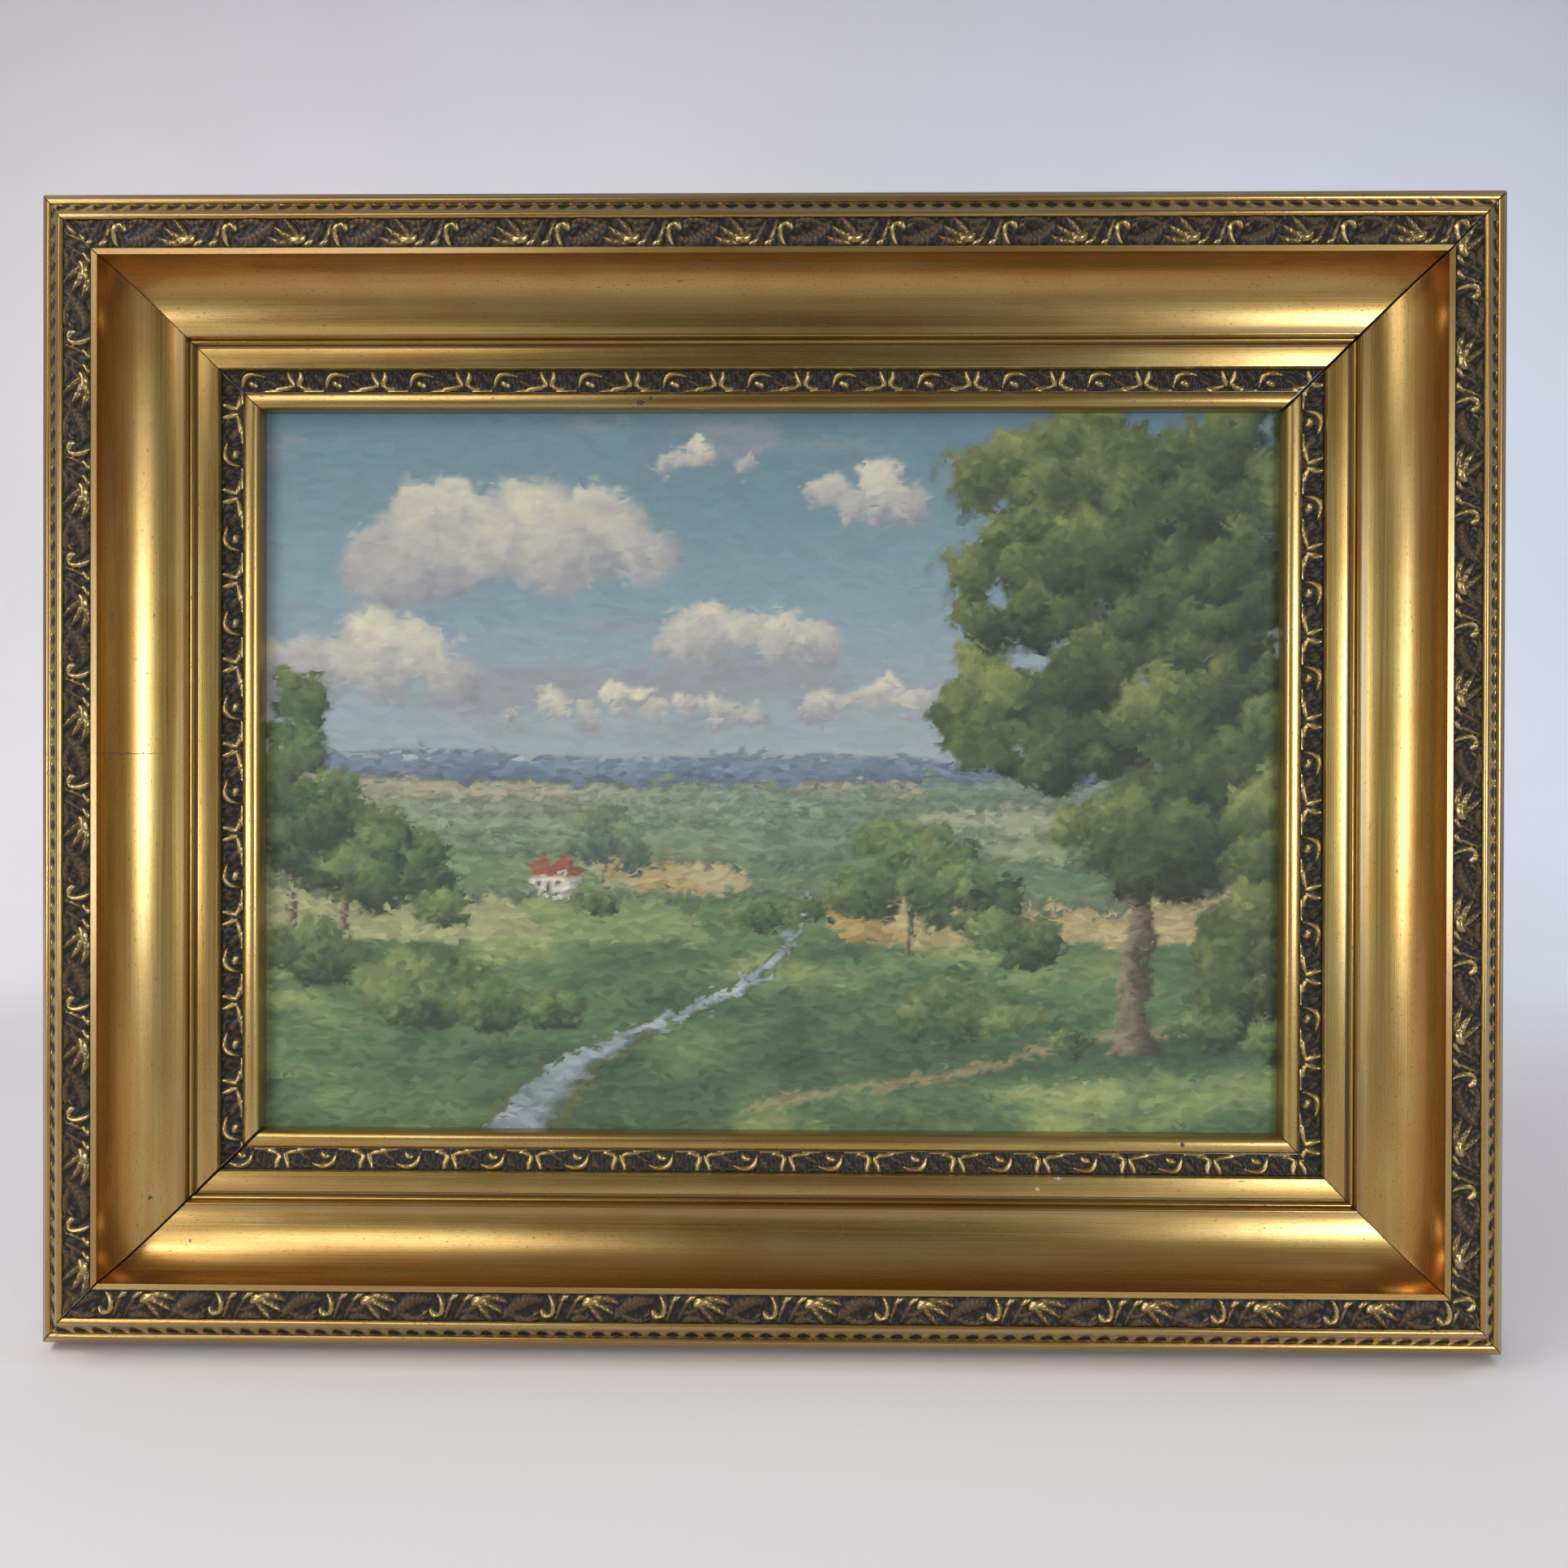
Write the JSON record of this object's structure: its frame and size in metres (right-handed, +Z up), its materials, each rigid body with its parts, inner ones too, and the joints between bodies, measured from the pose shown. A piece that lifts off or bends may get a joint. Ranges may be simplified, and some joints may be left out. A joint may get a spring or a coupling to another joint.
{
  "type": "framed oil painting",
  "caption": "Landscape oil painting on board in a wide gilt wooden frame with a deep cove and two bands of leaf ornament, made to hang on a wall.",
  "frame": {"origin": "middle of the top rail's flat back, in the wall plane, where the picture is hung", "axes": "+Y out of the back into the wall, so the picture faces -Y; +X to the viewer's right; +Z up"},
  "size_m": [0.4848, 0.0399, 0.3838],
  "materials": {
    "gilt_moulding": "gilded gesso over softwood, burnished in the cove, dark umber toning in the ornament, bare wood behind",
    "painted_board": "oil paint over a primed, canvas-textured board, satin",
    "brads": "dull, a little rusted"
  },
  "bodies": {
    "root": {"top_rail": "gilt_moulding", "right_rail": "gilt_moulding", "bottom_rail": "gilt_moulding", "left_rail": "gilt_moulding", "painted_board": "painted_board", "top_brad_1": "brads", "top_brad_2": "brads", "top_brad_3": "brads", "right_brad_1": "brads", "right_brad_2": "brads", "bottom_brad_1": "brads", "bottom_brad_2": "brads", "bottom_brad_3": "brads", "left_brad_1": "brads", "left_brad_2": "brads"}
  },
  "joints": []
}
